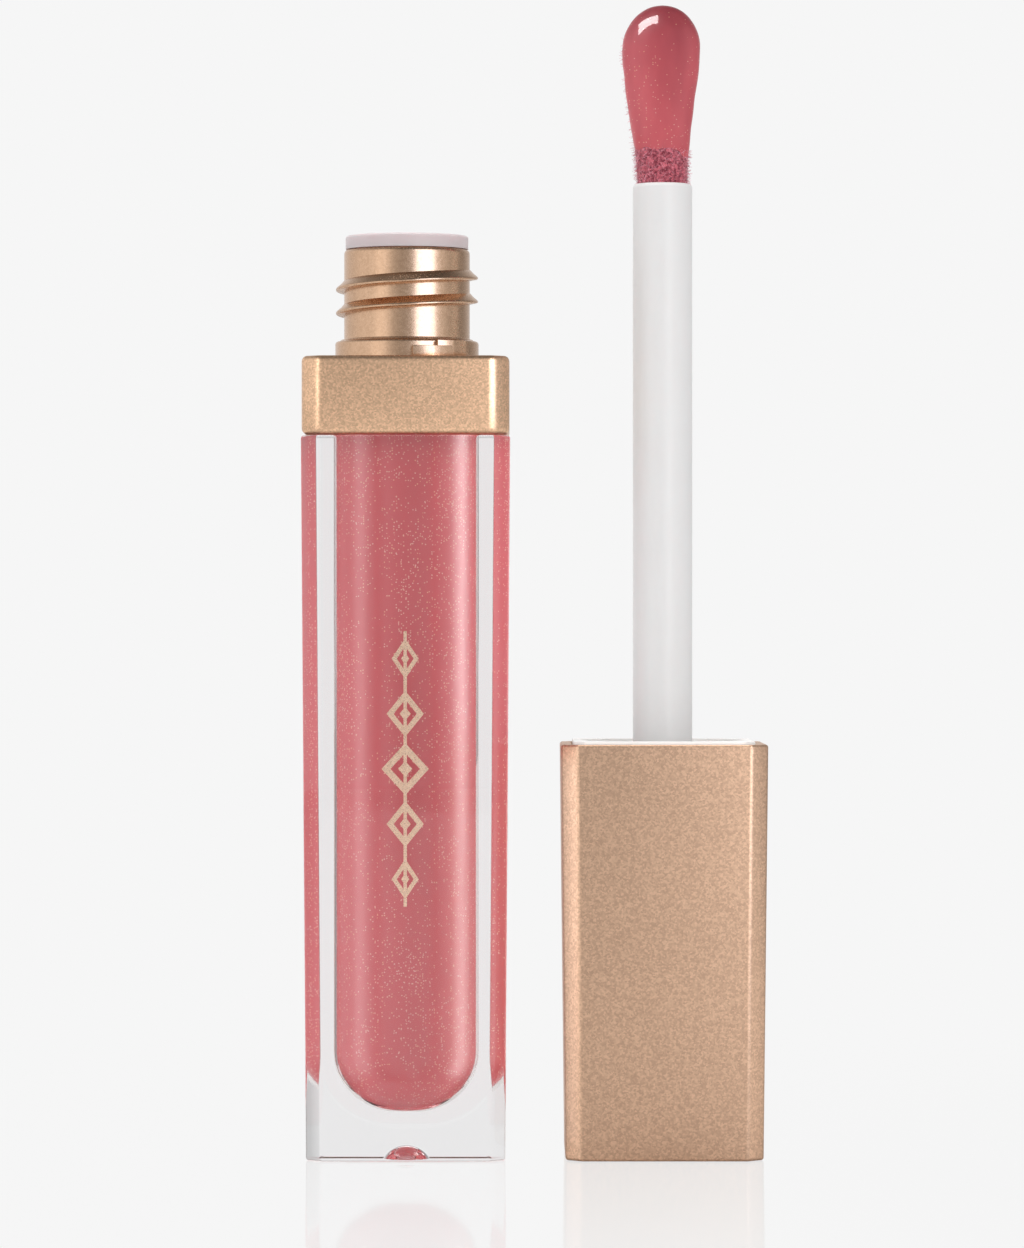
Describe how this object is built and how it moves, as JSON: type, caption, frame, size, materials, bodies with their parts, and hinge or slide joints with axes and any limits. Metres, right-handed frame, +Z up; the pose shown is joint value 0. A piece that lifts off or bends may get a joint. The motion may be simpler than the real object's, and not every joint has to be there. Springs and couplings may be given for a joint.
{
  "type": "lip gloss tube",
  "caption": "Square clear lip gloss bottle, open, with a threaded metallised neck, and its square cap standing upside down beside it with the applicator wand pointing up.",
  "frame": {"origin": "centre of the bottle's flat base, on the bottle's axis", "axes": "+Z up along the bottle's axis, +X from the bottle to the cap beside it, -Y the front with the ornament"},
  "size_m": [0.0415, 0.0186, 0.1033],
  "materials": {
    "clear_plastic": "polished clear heavy-wall plastic",
    "satin_gold": "satin rose-gold metallising over plastic",
    "wiper_plastic": "soft translucent plastic, tinted by gloss",
    "gloss": "thick pink gloss with fine shimmer",
    "foil": "bright rose-gold hot-stamping foil",
    "matte_gold": "fine sandy matte rose-gold metallising over plastic",
    "white_plastic": "natural white moulded plastic",
    "liner_foam": "soft foamed sealing liner",
    "stem_plastic": "white plastic with a soft gloss",
    "tip_rubber": "soft moulded elastomer",
    "flock": "short flocked fibres stained by gloss",
    "wet_gloss": "wet pink gloss film with fine shimmer"
  },
  "bodies": {
    "bottle": {"bottle_block": "clear_plastic", "neck_collar": "satin_gold", "wiper": "wiper_plastic", "gloss_fill": "gloss", "foil_ornament": "foil"},
    "wand": {"wand_stem": "stem_plastic", "liner_ring": "liner_foam"},
    "cap": {"cap_shell": "matte_gold", "inner_cap": "white_plastic", "tip_anchor": "tip_rubber"},
    "tip": {"tip_core": "tip_rubber", "tip_flock": "flock", "gloss_coat": "wet_gloss"}
  },
  "joints": [
    {"name": "cap_turn_over", "type": "hinge", "parent": "bottle", "child": "wand", "pos_m": [0.0115, 0, 0.096], "axis": [0, -1, 0], "range_deg": [0, 180]},
    {"name": "cap_screw", "type": "hinge", "parent": "wand", "child": "cap", "pos_m": [0.023, 0, 0], "axis": [0, 0, 1], "range_deg": [0, 630]},
    {"name": "tip_flex", "type": "hinge", "parent": "cap", "child": "tip", "pos_m": [0.023, 0, 0.0877], "axis": [1, 0, 0], "range_deg": [-20, 20], "stiffness_Nm_per_rad": 0.01}
  ]
}
